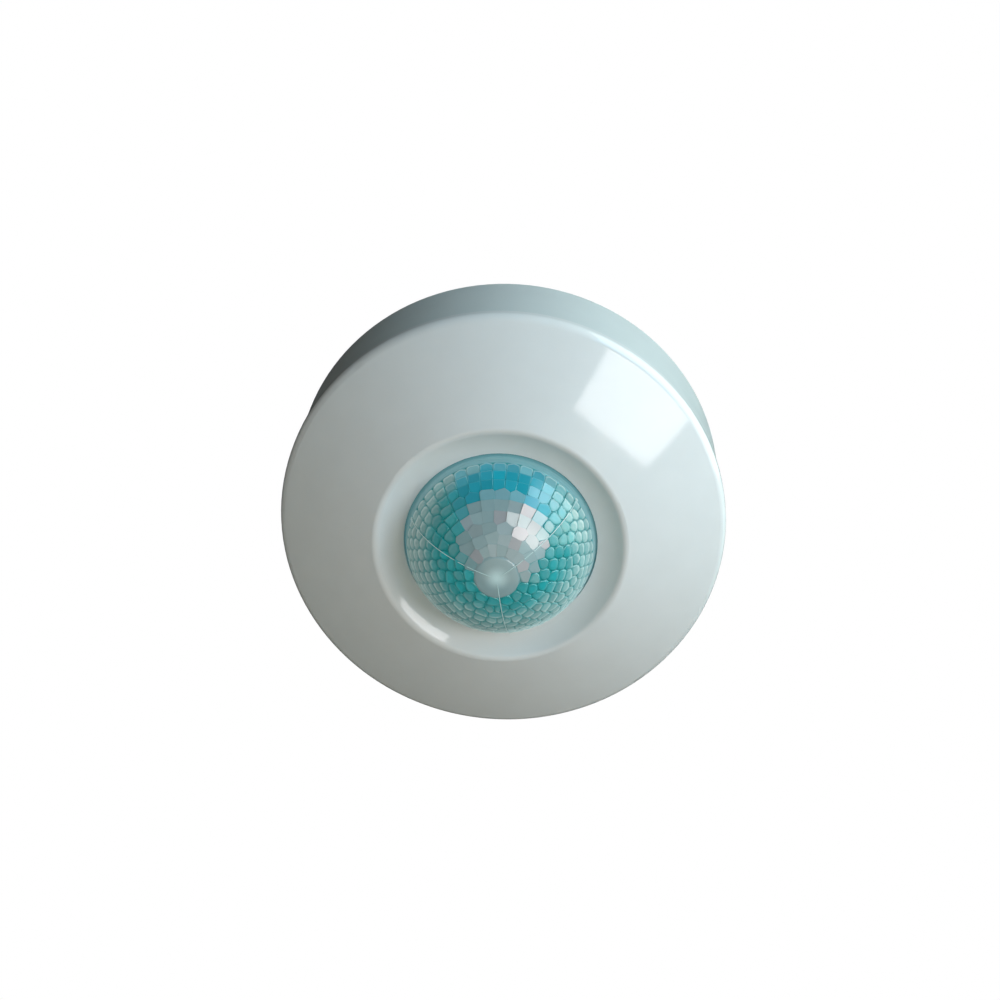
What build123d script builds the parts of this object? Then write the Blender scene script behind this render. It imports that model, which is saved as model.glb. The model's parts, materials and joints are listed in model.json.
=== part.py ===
from build123d import *
import math
import os

# Ceiling motion sensor: a round surface box, an electronics stack, and a snap-on cover with a
# faceted dome lens.
#
# The sensor hangs from a ceiling. The origin is the centre of the mounting face, +Z points up into
# the ceiling and the lens looks down along -Z. Every "depth" below is a distance under the ceiling,
# in millimetres. The lens has three sectors. Their seams lie at SEAM_ANGLES, and the infrared
# sensor cans sit between the seams.

# Housing: overall sizes
COVER_RADIUS = 55.0
COVER_WALL = 2.0
RIM_TOP_DEPTH = 23.8
RIM_CORNER_DEPTH = 26.9
RIM_ROUNDING = 3.0
FACE_BULGE = 0.6
DISH_EDGE_RADIUS = 30.1
DISH_EDGE_DEPTH = 39.0
DISH_EDGE_ROUNDING = 1.8
DISH_HOLLOW = 0.55
LENS_OPENING_RADIUS = 23.5
LENS_OPENING_DEPTH = 35.8
LENS_SEAT_RADIUS = 28.0

# Base: the box that is screwed to the ceiling
BASE_RADIUS = 54.4
BASE_WALL = 2.6
BASE_PLATE = 2.6
BASE_DEPTH = 23.6
SPIGOT_OUTER = 52.6
SPIGOT_INNER = 50.6
SPIGOT_TOP_DEPTH = 18.0
SPIGOT_DEPTH = 25.4
BACK_RECESS = 0.8
BACK_LAND_INNER = 46.5
BACK_HUB_RADIUS = 17.0
BACK_RIB_WIDTH = 2.0
BACK_RIB_COUNT = 12
SLOT_PITCH = 60.0
SLOT_WIDTH = 4.6
SLOT_LENGTH = 10.0
SLOT_PAD_MARGIN = 3.2
KNOCKOUT_CENTRE = 31.0
KNOCKOUT_RADIUS = 8.0
KNOCKOUT_GROOVE = 0.8

# Cable grommet in the middle of the base plate
ENTRY_RADIUS = 10.8
GROMMET_FLANGE = 13.2
GROMMET_SEAT = 1.2
GROMMET_LIP = 1.4
CABLE_RADIUS = 4.0
GROMMET_COLLAR_RADIUS = 6.0
GROMMET_COLLAR_DEPTH = 9.0

# Conduit window in the base wall, closed by a push-in plug
WINDOW_WIDTH = 16.0
WINDOW_TOP_DEPTH = 4.0
WINDOW_BOTTOM_DEPTH = 15.0
PLUG_GAP = 0.1
PLUG_FLANGE = 1.6

# Main board and its screws
BOARD_TOP_DEPTH = 12.0
BOARD_THICKNESS = 1.6
BOARD_FACE = BOARD_TOP_DEPTH + BOARD_THICKNESS
BOARD_RADIUS = 46.0
BOSS_CIRCLE = 40.0
BOSS_ANGLES = (90.0, 210.0, 330.0)
BOSS_RADIUS = 3.4
PILOT_RADIUS = 1.3
PILOT_LENGTH = 8.0
SCREW_SHANK = 1.25
SCREW_HEAD = 2.7
SCREW_HEAD_HEIGHT = 1.9
SCREW_HOLE = 1.7
WIRE_CUTOUT = (7.0, 27.0, 25.0)

# Lens: a spherical cap on a short neck with a flange
LENS_RADIUS = 23.4
LENS_CENTRE_DEPTH = 31.9
LENS_WALL = 1.2
LENS_FLANGE_RADIUS = 27.6
LENS_FLANGE_TOP = 31.2
LENS_FLANGE_BOTTOM = 32.8
GASKET_INNER = 24.2
GASKET_OUTER = 27.4
SEAM_ANGLES = (79.0, 199.0, 319.0)

# Retaining ring behind the lens and its bosses on the cover
RETAINER_INNER = 22.6
RETAINER_OUTER = 30.0
RETAINER_TOP = 29.2
EAR_ANGLES = (30.0, 150.0, 270.0)
EAR_CIRCLE = 33.5
EAR_RADIUS = 3.6
COVER_BOSS_RADIUS = 3.0

# Snap arms of the cover
ARM_ANGLES = (60.0, 180.0, 300.0)
ARM_OUTER = 50.3
ARM_THICKNESS = 1.7
ARM_WIDTH = 10.0
ARM_TIP_DEPTH = 15.5

# Sensor tower, its small board and the parts on it
TOWER_RADIUS = 17.0
TOWER_WALL = 1.6
TOWER_FLOOR = 1.4
TOWER_BOTTOM = 26.4
SENSOR_BOARD_RADIUS = 16.4
SENSOR_BOARD_BOTTOM = 27.6
CAN_ANGLES = (19.0, 139.0, 259.0)
CAN_CIRCLE = 8.0
CAN_RADIUS = 4.1
CAN_FLANGE = 4.6
CAN_HEIGHT = 4.4
BAFFLE_WIDTH = 1.2
BAFFLE_REACH = 14.0
BAFFLE_TIP_REACH = 6.0
BAFFLE_BOTTOM = 38.5
PEG_CIRCLE = 12.0
PEG_RADIUS = 0.8
EYE_CIRCLE = 12.8
EYE_OFFSET = 15.0

# Small parts: (angle, circle radius) on the main board
DIP_PLACE = (270.0, 38.0)
TRIMMER_PLACES = {"time": (248.0, 37.5), "light": (292.0, 37.5), "range": (228.0, 37.5)}
TEST_BUTTON_PLACE = (300.0, 28.0)
TAMPER_PLACE = (311.0, 40.0)
DIP_PITCH = 2.54
DIP_COUNT = 4
SLIDER_LENGTH = 1.6
SLIDER_TRAVEL = 2.0
TERMINAL_PITCH = 5.08
TERMINAL_COUNT = 6
TERMINAL_X = 36.0
TAMPER_TIP_DEPTH = 24.0
TAMPER_GAP = 0.1
RUNNING_GAP = 0.05

# Each capacitor: x, y, radius, height. Each chip: name, x, y, width, length.
CAPACITORS = ((-24.0, 22.5, 5.0, 11.0), (-12.5, 29.0, 3.15, 8.0), (9.0, 27.0, 3.15, 8.0))
CHIPS = (("controller", 12.5, 36.5, 7.5, 7.5), ("amplifier", -2.0, 23.5, 8.6, 3.9))

MIDDLE = (Align.CENTER, Align.CENTER, Align.MIN)


def rod(radius, top, bottom, x=0.0, y=0.0):
    """Upright cylinder between two depths."""
    return Pos(x, y, -bottom) * Cylinder(radius, bottom - top, align=MIDDLE)


def tube(outer, inner, top, bottom, x=0.0, y=0.0):
    """Upright pipe between two depths."""
    return rod(outer, top, bottom, x, y) - rod(inner, top, bottom, x, y)


def block(width, length, top, bottom, x=0.0, y=0.0):
    """Upright box between two depths, width along X and length along Y."""
    return Pos(x, y, -bottom) * Box(width, length, bottom - top, align=MIDDLE)


def polar(angle, radius):
    """X and Y of a point at an angle and a radius."""
    return radius * math.cos(math.radians(angle)), radius * math.sin(math.radians(angle))


def put(shape, angle, radius):
    """Moves a shape from the middle to a place on the board, its -Y side facing outwards."""
    x, y = polar(angle, radius)
    return Pos(x, y, 0) * Rot(0, 0, angle - 270.0) * shape


def lathe(points):
    """Solid of revolution about Z from a closed outline of (radius, depth) points."""
    outline = [(radius, -depth) for radius, depth in points]
    return revolve(Plane.XZ * make_face(Polyline(*outline, close=True)), Axis.Z)


def group(shapes):
    """Several separate solids as one node."""
    return Compound(children=[solid for shape in shapes for solid in shape.solids()])


def pan_screw(x, y, seat_depth, length, head=SCREW_HEAD, shank=SCREW_SHANK):
    """Cross-slotted pan-head screw: the head lies under seat_depth and the shank runs up from it."""
    body = rod(head, seat_depth, seat_depth + SCREW_HEAD_HEIGHT, x, y)
    body = fillet(body.edges().group_by(Axis.Z)[0], 0.8)
    body += rod(shank, seat_depth - length, seat_depth, x, y)
    slot_floor = seat_depth + SCREW_HEAD_HEIGHT - 1.0
    for width, depth in ((3.2, 0.7), (0.7, 3.2)):
        body -= block(width, depth, slot_floor, seat_depth + SCREW_HEAD_HEIGHT, x, y)
    return body


# ---------------------------------------------------------------- cover and lens


def offset_corner(before, corner, after, distance):
    """Where two outline edges meet once both have moved sideways by distance."""
    d1 = (Vector(*corner) - Vector(*before)).normalized()
    d2 = (Vector(*after) - Vector(*corner)).normalized()
    n1 = Vector(d1.Y, -d1.X) * distance
    n2 = Vector(d2.Y, -d2.X) * distance
    cross = d1.X * d2.Y - d1.Y * d2.X
    gap = (Vector(*corner) + n2) - (Vector(*corner) + n1)
    run = (gap.X * d2.Y - gap.Y * d2.X) / cross
    hit = Vector(*corner) + n1 + d1 * run
    return hit.X, hit.Y


def cover_outline(skin):
    """Corner points (radius, -depth) of the cover: the outer face, or the inner one if skin is the wall."""
    corners = [
        (COVER_RADIUS, -RIM_TOP_DEPTH),
        (COVER_RADIUS, -RIM_CORNER_DEPTH),
        (DISH_EDGE_RADIUS, -DISH_EDGE_DEPTH),
        (LENS_OPENING_RADIUS, -LENS_OPENING_DEPTH),
    ]
    if skin == 0:
        return corners
    inner = [offset_corner(*corners[i : i + 3], skin) for i in range(2)]
    rim = (COVER_RADIUS - skin, -RIM_TOP_DEPTH)
    opening = (LENS_OPENING_RADIUS, -LENS_OPENING_DEPTH + skin)
    return [rim, *inner, opening]


def swollen(start, end, height):
    """Arc between two outline points that swells outwards by height, or inwards if height is negative."""
    a, b = Vector(*start), Vector(*end)
    along = (b - a).normalized()
    middle = (a + b) * 0.5 + Vector(-along.Y, along.X) * height
    return ThreePointArc(a, middle, b)


def rounded(sketch, corner, radius):
    """Rounds the outline's vertex nearest to a corner point."""
    vertex = sketch.vertices().sort_by_distance(Vector(*corner))[0]
    return fillet(vertex, radius)


def cover_profile(filled):
    """Half section of the cover: a thin wall, or everything behind its outer face if filled."""
    outer = cover_outline(0)
    face = swollen(outer[1], outer[2], FACE_BULGE)
    dish = swollen(outer[2], outer[3], -DISH_HOLLOW)
    if filled:
        roof = -RIM_TOP_DEPTH + 12.0
        rest = [Polyline(outer[3], (0, outer[3][1]), (0, roof), (COVER_RADIUS, roof), outer[1])]
    else:
        inner = cover_outline(COVER_WALL)
        seat = (LENS_SEAT_RADIUS, inner[3][1])
        rest = [
            Polyline(outer[3], inner[3], seat, inner[2]),
            swollen(inner[1], inner[2], FACE_BULGE),
            Polyline(inner[1], inner[0], outer[0], outer[1]),
        ]
    sketch = make_face([face, dish, *rest])
    sketch = rounded(sketch, outer[1], RIM_ROUNDING)
    return rounded(sketch, outer[2], DISH_EDGE_ROUNDING)


def front_cover():
    """Conical shell, dished round the lens, with three arms, three screw bosses and a tamper post."""
    shell = revolve(Plane.XZ * cover_profile(False), Axis.Z)
    inside = revolve(Plane.XZ * cover_profile(True), Axis.Z)
    fittings = []
    for angle in ARM_ANGLES:
        arm = tube(ARM_OUTER, ARM_OUTER - ARM_THICKNESS, ARM_TIP_DEPTH, 31.0)
        window = Rot(0, 0, angle) * block(20.0, ARM_WIDTH, ARM_TIP_DEPTH, 31.0, ARM_OUTER)
        fittings.append(arm & window)
    for angle in EAR_ANGLES:
        boss = rod(COVER_BOSS_RADIUS, LENS_FLANGE_TOP, 38.0, *polar(angle, EAR_CIRCLE))
        fittings.append(boss)
    post_top = TAMPER_TIP_DEPTH + TAMPER_GAP
    fittings.append(rod(2.2, post_top, 36.0, *polar(*TAMPER_PLACE)))
    for fitting in fittings:
        shell += fitting & inside
    for angle in EAR_ANGLES:
        x, y = polar(angle, EAR_CIRCLE)
        shell -= rod(PILOT_RADIUS, LENS_FLANGE_TOP, LENS_FLANGE_TOP + 4.5, x, y)
    return shell


def lens_dome():
    """Thin spherical cap on a short neck, with a flat flange that the retaining ring clamps."""
    outside = Pos(0, 0, -LENS_CENTRE_DEPTH) * Sphere(LENS_RADIUS)
    inside = Pos(0, 0, -LENS_CENTRE_DEPTH) * Sphere(LENS_RADIUS - LENS_WALL)
    below_neck = block(60.0, 60.0, LENS_CENTRE_DEPTH, 60.0)
    shell = (outside - inside) & below_neck
    neck = tube(LENS_RADIUS, LENS_RADIUS - LENS_WALL, LENS_FLANGE_TOP, LENS_CENTRE_DEPTH)
    flange = tube(LENS_FLANGE_RADIUS, LENS_RADIUS - LENS_WALL, LENS_FLANGE_TOP, LENS_FLANGE_BOTTOM)
    return shell + neck + flange


def lens_gasket():
    """Flat rubber ring between the lens flange and the cover."""
    return tube(GASKET_OUTER, GASKET_INNER, LENS_FLANGE_BOTTOM, LENS_OPENING_DEPTH - COVER_WALL)


def lens_retainer():
    """Ring with three ears that holds the lens flange down on the gasket."""
    ring = rod(RETAINER_OUTER, RETAINER_TOP, LENS_FLANGE_TOP)
    for angle in EAR_ANGLES:
        ring += rod(EAR_RADIUS, RETAINER_TOP, LENS_FLANGE_TOP, *polar(angle, EAR_CIRCLE))
    ring -= rod(RETAINER_INNER, RETAINER_TOP, LENS_FLANGE_TOP)
    for angle in EAR_ANGLES:
        ring -= rod(SCREW_HOLE, RETAINER_TOP, LENS_FLANGE_TOP, *polar(angle, EAR_CIRCLE))
    return ring


def retainer_screws():
    """Three screws driven from the ceiling side through the retainer's ears into the cover."""
    screws = []
    for angle in EAR_ANGLES:
        upright = Rot(180, 0, 0) * pan_screw(0, 0, 0.0, 6.0, head=2.5)
        screws.append(Pos(*polar(angle, EAR_CIRCLE), -RETAINER_TOP) * upright)
    return group(screws)


# ---------------------------------------------------------------- base


def back_pattern():
    """What is cut from the ceiling side: a shallow annular recess that leaves ribs and slot pads standing."""
    recess = tube(BACK_LAND_INNER, BACK_HUB_RADIUS, 0.0, BACK_RECESS)
    for i in range(BACK_RIB_COUNT):
        turn = 360.0 / BACK_RIB_COUNT * (i + 0.5)
        rib = block(BASE_RADIUS, BACK_RIB_WIDTH, 0.0, BACK_RECESS, BASE_RADIUS / 2)
        recess -= Rot(0, 0, turn) * rib
    pad_width = SLOT_LENGTH + 2 * SLOT_PAD_MARGIN
    pad_length = SLOT_WIDTH + 2 * SLOT_PAD_MARGIN
    for side in (-1, 1):
        recess -= block(pad_width, pad_length, 0.0, BACK_RECESS, side * SLOT_PITCH / 2)
        recess -= rod(KNOCKOUT_RADIUS + 2.0, 0.0, BACK_RECESS, 0.0, side * KNOCKOUT_CENTRE)
    return recess


def screw_slot(x):
    """Slotted hole through the base plate, long along X."""
    straight = SLOT_LENGTH - SLOT_WIDTH
    slot = block(straight, SLOT_WIDTH, 0.0, BASE_PLATE, x)
    for end in (-1, 1):
        slot += rod(SLOT_WIDTH / 2, 0.0, BASE_PLATE, x + end * straight / 2)
    return slot


def base_shell():
    """Round box: plate, wall, spigot for the cover, board bosses, slots, cable entry and conduit window."""
    bottom = BASE_DEPTH
    inner = BASE_RADIUS - BASE_WALL
    box = lathe(
        [
            (0, 0),
            (BASE_RADIUS - 0.6, 0),
            (BASE_RADIUS, 0.6),
            (BASE_RADIUS, bottom),
            (SPIGOT_OUTER, bottom),
            (SPIGOT_OUTER, SPIGOT_DEPTH),
            (SPIGOT_INNER, SPIGOT_DEPTH),
            (SPIGOT_INNER, SPIGOT_TOP_DEPTH),
            (inner, SPIGOT_TOP_DEPTH - 1.2),
            (inner, BASE_PLATE),
            (0, BASE_PLATE),
        ]
    )
    for angle in BOSS_ANGLES:
        x, y = polar(angle, BOSS_CIRCLE)
        box += rod(BOSS_RADIUS, BASE_PLATE, BOARD_TOP_DEPTH, x, y)
        box -= rod(PILOT_RADIUS, BOARD_TOP_DEPTH - PILOT_LENGTH, BOARD_TOP_DEPTH, x, y)
    box -= back_pattern()
    for side in (-1, 1):
        box -= screw_slot(side * SLOT_PITCH / 2)
        groove = tube(KNOCKOUT_RADIUS, KNOCKOUT_RADIUS - KNOCKOUT_GROOVE, 0.0, 1.8)
        box -= Pos(0, side * KNOCKOUT_CENTRE, 0) * groove
    box -= rod(ENTRY_RADIUS, 0.0, BASE_PLATE)
    box -= rod(GROMMET_FLANGE + 0.1, 0.0, GROMMET_SEAT)
    box -= conduit_window(0.0)
    return box


def conduit_window(gap):
    """Block that fills the window in the wall on the +Y side, smaller by gap all round."""
    return block(
        WINDOW_WIDTH - 2 * gap,
        12.0,
        WINDOW_TOP_DEPTH + gap,
        WINDOW_BOTTOM_DEPTH - gap,
        0.0,
        BASE_RADIUS,
    )


def conduit_plug():
    """Blanking plug for the conduit window: flush outside, with a retaining flange inside."""
    wall = tube(BASE_RADIUS, BASE_RADIUS - BASE_WALL, WINDOW_TOP_DEPTH, WINDOW_BOTTOM_DEPTH)
    plug = wall & conduit_window(PLUG_GAP)
    inner = BASE_RADIUS - BASE_WALL - 0.05
    lining = tube(inner, inner - PLUG_FLANGE, WINDOW_TOP_DEPTH - 0.9, WINDOW_BOTTOM_DEPTH + 1.2)
    flange = lining & block(WINDOW_WIDTH + 4.0, 12.0, 0.0, 20.0, 0.0, BASE_RADIUS)
    joint = tube(inner + 0.05, inner - 0.2, WINDOW_TOP_DEPTH, WINDOW_BOTTOM_DEPTH)
    bridge = joint & conduit_window(PLUG_GAP)
    return plug + flange + bridge


def cable_grommet():
    """Rubber grommet that snaps into the cable entry, with a collar round the cable."""
    neck = ENTRY_RADIUS - 0.1
    plate_under = BASE_PLATE + GROMMET_LIP
    return lathe(
        [
            (CABLE_RADIUS, 0.1),
            (GROMMET_FLANGE, 0.1),
            (GROMMET_FLANGE, GROMMET_SEAT),
            (neck, GROMMET_SEAT),
            (neck, BASE_PLATE),
            (GROMMET_FLANGE - 0.6, BASE_PLATE),
            (GROMMET_FLANGE - 1.2, plate_under),
            (GROMMET_COLLAR_RADIUS + 0.8, plate_under),
            (GROMMET_COLLAR_RADIUS, GROMMET_COLLAR_DEPTH),
            (CABLE_RADIUS, GROMMET_COLLAR_DEPTH),
        ]
    )


# ---------------------------------------------------------------- main board


def main_board():
    """Round circuit board with three screw holes and a slot for the supply wires."""
    board = rod(BOARD_RADIUS, BOARD_TOP_DEPTH, BOARD_FACE)
    for angle in BOSS_ANGLES:
        board -= rod(SCREW_HOLE, BOARD_TOP_DEPTH, BOARD_FACE, *polar(angle, BOSS_CIRCLE))
    width, length, x = WIRE_CUTOUT
    cutout = block(width, length - width, BOARD_TOP_DEPTH, BOARD_FACE, x)
    for end in (-1, 1):
        cutout += rod(width / 2, BOARD_TOP_DEPTH, BOARD_FACE, x, end * (length - width) / 2)
    return board - cutout


def board_screws():
    """Three screws that hold the main board on the base's bosses."""
    return group([pan_screw(*polar(a, BOSS_CIRCLE), BOARD_FACE, 7.5) for a in BOSS_ANGLES])


def terminal_rows():
    """Y of each terminal pole."""
    first = -(TERMINAL_COUNT - 1) / 2
    return [(first + i) * TERMINAL_PITCH for i in range(TERMINAL_COUNT)]


def terminal_block():
    """Six-pole screw terminal: wires enter from the middle of the board, screws face down."""
    length = TERMINAL_COUNT * TERMINAL_PITCH + 0.6
    body = block(9.0, length, BOARD_FACE, 23.6, TERMINAL_X)
    outer_edge = body.edges().filter_by(Axis.Y).group_by(Axis.Z)[0].sort_by(Axis.X)[-1]
    body = chamfer(outer_edge, 1.6)
    for y in terminal_rows():
        body -= rod(2.1, 19.6, 23.6, TERMINAL_X, y)
        body -= block(7.4, 3.4, 15.6, 19.6, TERMINAL_X - 0.9, y)
    return body


def terminal_clamps():
    """Plated cages that squeeze the wires, one in each pole."""
    cages = []
    for y in terminal_rows():
        cage = block(4.6, 3.2, 15.7, 19.4, TERMINAL_X - 0.2, y)
        cages.append(cage - block(4.6, 2.0, 16.3, 18.6, TERMINAL_X - 0.2, y))
    return group(cages)


def terminal_screws():
    """Slotted clamp screws in their wells."""
    screws = []
    for y in terminal_rows():
        screw = rod(1.95, 20.2, 22.0, TERMINAL_X, y) + rod(1.2, 19.4, 20.2, TERMINAL_X, y)
        screws.append(screw - block(0.6, 3.9, 21.2, 22.0, TERMINAL_X, y))
    return group(screws)


def relay():
    """Sealed switching relay with a pip on its lid."""
    body = block(12.5, 20.0, BOARD_FACE + 0.3, 25.2, -34.0, 0.0)
    body = fillet(body.edges().filter_by(Axis.Z), 0.8)
    for x in (-39.0, -29.0):
        for y in (-8.5, 8.5):
            body += block(1.0, 1.0, BOARD_FACE, BOARD_FACE + 0.3, x, y)
    return body - rod(0.8, 24.9, 25.2, -30.0, 7.5)


def capacitor_cans():
    """Electrolytic capacitors, each with a rolled groove near its foot."""
    cans = []
    for x, y, radius, height in CAPACITORS:
        can = rod(radius, BOARD_FACE, BOARD_FACE + height, x, y)
        can = fillet(can.edges().group_by(Axis.Z)[0], 0.6)
        groove = tube(radius + 1.0, radius - 0.35, BOARD_FACE + 1.6, BOARD_FACE + 2.3, x, y)
        cans.append(can - groove)
    return group(cans)


def capacitor_vents():
    """Bare scored tops of the capacitors, on the ends of the sleeves."""
    tops = []
    for x, y, radius, height in CAPACITORS:
        end = BOARD_FACE + height
        top = rod(radius - 1.0, end, end + 0.25, x, y)
        for width, depth in ((2 * radius, 0.25), (0.25, 2 * radius)):
            top -= block(width, depth, end + 0.1, end + 0.25, x, y)
        tops.append(top)
    return group(tops)


def varistor():
    """Dipped disc surge arrester on two wire legs."""
    x, y = 22.0, 27.5
    disc = Pos(x, y, -(BOARD_FACE + 6.2)) * Rot(90, 0, 25) * Cylinder(4.6, 3.0)
    disc = fillet(disc.edges(), 1.3)
    legs = [rod(0.35, BOARD_FACE, BOARD_FACE + 3.5, x + dx, y + dx * 0.466) for dx in (-2.2, 2.2)]
    for leg in legs:
        disc += leg
    return disc


def chip_body(x, y, width, length):
    """Moulded chip package with a dot by its first pin."""
    body = block(width, length, BOARD_FACE + 0.15, BOARD_FACE + 1.7, x, y)
    body = chamfer(body.edges().group_by(Axis.Z)[0], 0.25)
    dot = rod(0.35, BOARD_FACE + 1.55, BOARD_FACE + 1.7, x - width / 2 + 1.0, y - length / 2 + 1.0)
    return body - dot


def chip_leads():
    """Gull-wing leads along the chips' long sides."""
    leads = []
    for _, x, y, width, length in CHIPS:
        count = int((width - 0.8) / 0.8)
        for i in range(count):
            at = x + (i - (count - 1) / 2) * 0.8
            for side in (-1, 1):
                edge = y + side * length / 2
                foot = block(0.35, 0.9, BOARD_FACE, BOARD_FACE + 0.2, at, edge + side * 0.75)
                riser = block(0.35, 0.35, BOARD_FACE, BOARD_FACE + 0.8, at, edge + side * 0.175)
                leads.append(foot + riser)
    return group(leads)


def chip_resistors():
    """Surface-mount resistors in two rows on the +Y half of the board."""
    pieces = []
    for i in range(7):
        for radius in (20.5, 24.5):
            angle = 128.0 + 8.5 * i
            if radius == 24.5 and i < 3:
                continue
            pieces.append(put(block(2.0, 1.2, BOARD_FACE, BOARD_FACE + 0.6), angle, radius))
    return group(pieces)


# ---------------------------------------------------------------- controls


def trimmer_body(place):
    """Square trimmer housing with a round well for its knob."""
    body = block(9.5, 9.5, BOARD_FACE, 18.4)
    body = fillet(body.edges().filter_by(Axis.Z), 0.6)
    body -= rod(3.5 + RUNNING_GAP, 16.2, 18.4)
    return put(body, *place)


def trimmer_knob(place):
    """Turning knob with a screwdriver slot and a pointer notch."""
    knob = rod(3.5, 16.3, 21.6)
    knob = chamfer(knob.edges().group_by(Axis.Z)[0], 0.35)
    knob -= block(0.9, 5.4, 20.6, 21.6)
    knob -= block(0.9, 1.6, 19.4, 21.6, 0.0, -3.4)
    return put(knob, *place)


def dip_rows():
    """X of each slider."""
    return [(i - (DIP_COUNT - 1) / 2) * DIP_PITCH for i in range(DIP_COUNT)]


def dip_body():
    """Four-way slide switch housing with one slot per slider."""
    body = block(12.0, 7.0, BOARD_FACE, 18.0)
    body = chamfer(body.edges().group_by(Axis.Z)[0], 0.3)
    slot_length = SLIDER_TRAVEL + SLIDER_LENGTH + 2 * RUNNING_GAP
    for x in dip_rows():
        body -= block(1.3, slot_length, 16.4, 18.0, x)
    return put(body, *DIP_PLACE)


def dip_slider(index):
    """Slider at the inner end of its slot; it travels outwards, along -Y."""
    slider = block(1.2, SLIDER_LENGTH, 16.5, 18.9, dip_rows()[index], SLIDER_TRAVEL / 2)
    return put(slider, *DIP_PLACE)


def test_button_body():
    """Tact switch housing with a well for its cap."""
    body = block(6.0, 6.0, BOARD_FACE, 17.0) - rod(1.75, 15.9, 17.0)
    for x in (-2.2, 2.2):
        for y in (-2.2, 2.2):
            body += rod(0.45, 17.0, 17.15, x, y)
    return put(body, *TEST_BUTTON_PLACE)


def test_button_cap():
    """Round cap that travels into the switch."""
    cap = rod(1.7, 16.3, 18.7)
    return put(chamfer(cap.edges().group_by(Axis.Z)[0], 0.2), *TEST_BUTTON_PLACE)


def tamper_body():
    """Tamper switch housing with a bore for its plunger."""
    body = block(6.5, 6.5, BOARD_FACE, 20.6)
    body = fillet(body.edges().filter_by(Axis.Z), 0.5)
    return put(body - rod(1.55, 16.8, 20.6), *TAMPER_PLACE)


def tamper_plunger():
    """Plunger that the cover's post holds pressed."""
    plunger = rod(1.5, 17.1, TAMPER_TIP_DEPTH)
    return put(fillet(plunger.edges().group_by(Axis.Z)[0], 0.7), *TAMPER_PLACE)


# ---------------------------------------------------------------- sensor stack


def sensor_tower():
    """Plastic stand that carries the sensor board up inside the lens, open between its ribs."""
    inner = TOWER_RADIUS - TOWER_WALL
    tower = tube(TOWER_RADIUS, inner, BOARD_FACE, TOWER_BOTTOM)
    tower += tube(TOWER_RADIUS, 7.5, TOWER_BOTTOM - TOWER_FLOOR, TOWER_BOTTOM)
    for angle in (0.0, 60.0, 120.0):
        opening = block(2 * TOWER_RADIUS + 4.0, 8.0, BOARD_FACE + 2.0, TOWER_BOTTOM - 3.4)
        tower -= Rot(0, 0, angle) * opening
    return tower


def sensor_board():
    """Small round board on the tower, with peg holes for the baffle."""
    board = rod(SENSOR_BOARD_RADIUS, TOWER_BOTTOM, SENSOR_BOARD_BOTTOM)
    for angle in SEAM_ANGLES:
        x, y = polar(angle, PEG_CIRCLE)
        board -= rod(PEG_RADIUS + RUNNING_GAP, TOWER_BOTTOM, SENSOR_BOARD_BOTTOM, x, y)
    return board


def header_pins():
    """Eight square pins that join the two boards."""
    pins = []
    for i in range(4):
        for y in (-1.27, 1.27):
            pins.append(block(0.64, 0.64, BOARD_FACE, TOWER_BOTTOM, (i - 1.5) * 2.54, y))
    return group(pins)


def header_base():
    """Plastic strip round the feet of the pins."""
    strip = block(10.6, 5.2, BOARD_FACE, BOARD_FACE + 2.5)
    for i in range(4):
        for y in (-1.27, 1.27):
            strip -= block(0.66, 0.66, BOARD_FACE, BOARD_FACE + 2.5, (i - 1.5) * 2.54, y)
    return strip


def pyro_can(angle):
    """Metal can of one infrared sensor, open over its window."""
    floor = SENSOR_BOARD_BOTTOM
    end = floor + CAN_HEIGHT
    can = rod(CAN_FLANGE, floor, floor + 0.5) + rod(CAN_RADIUS, floor + 0.5, end)
    can = fillet(can.edges().group_by(Axis.Z)[0], 0.5)
    can -= block(4.0, 3.2, end - 0.5, end)
    return put(can, angle, CAN_CIRCLE)


def pyro_windows():
    """Dark infrared filters set into the cans."""
    end = SENSOR_BOARD_BOTTOM + CAN_HEIGHT
    return group([put(block(3.9, 3.1, end - 0.5, end - 0.1), a, CAN_CIRCLE) for a in CAN_ANGLES])


def sector_baffle():
    """Three wings under the lens seams that keep each sensor to its own sector, on pegs in the board."""
    outline = [
        (0, -SENSOR_BOARD_BOTTOM),
        (BAFFLE_REACH, -SENSOR_BOARD_BOTTOM),
        (BAFFLE_TIP_REACH, -BAFFLE_BOTTOM),
        (0, -BAFFLE_BOTTOM),
    ]
    face = Plane.XZ * make_face(Polyline(*outline, close=True))
    wing = extrude(face, BAFFLE_WIDTH / 2, both=True)
    baffle = None
    for angle in SEAM_ANGLES:
        turned = Rot(0, 0, angle) * wing
        baffle = turned if baffle is None else baffle + turned
        baffle += rod(PEG_RADIUS, TOWER_BOTTOM, SENSOR_BOARD_BOTTOM, *polar(angle, PEG_CIRCLE))
    return baffle


def status_led():
    """Round indicator lamp beside the first wing of the baffle."""
    x, y = polar(SEAM_ANGLES[0] + EYE_OFFSET, EYE_CIRCLE)
    floor = SENSOR_BOARD_BOTTOM
    lamp = rod(1.5, floor + 0.6, floor + 3.4, x, y)
    lamp = fillet(lamp.edges().group_by(Axis.Z)[0], 1.2)
    return lamp + rod(1.8, floor, floor + 0.6, x, y)


def light_sensor():
    """Daylight sensor in a small square package with a domed eye, on the wing's other side."""
    x, y = polar(SEAM_ANGLES[0] - EYE_OFFSET, EYE_CIRCLE)
    floor = SENSOR_BOARD_BOTTOM
    body = block(3.0, 3.0, floor, floor + 1.1, x, y)
    eye = rod(0.9, floor + 1.1, floor + 1.7, x, y)
    return body + fillet(eye.edges().group_by(Axis.Z)[0], 0.4)


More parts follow.
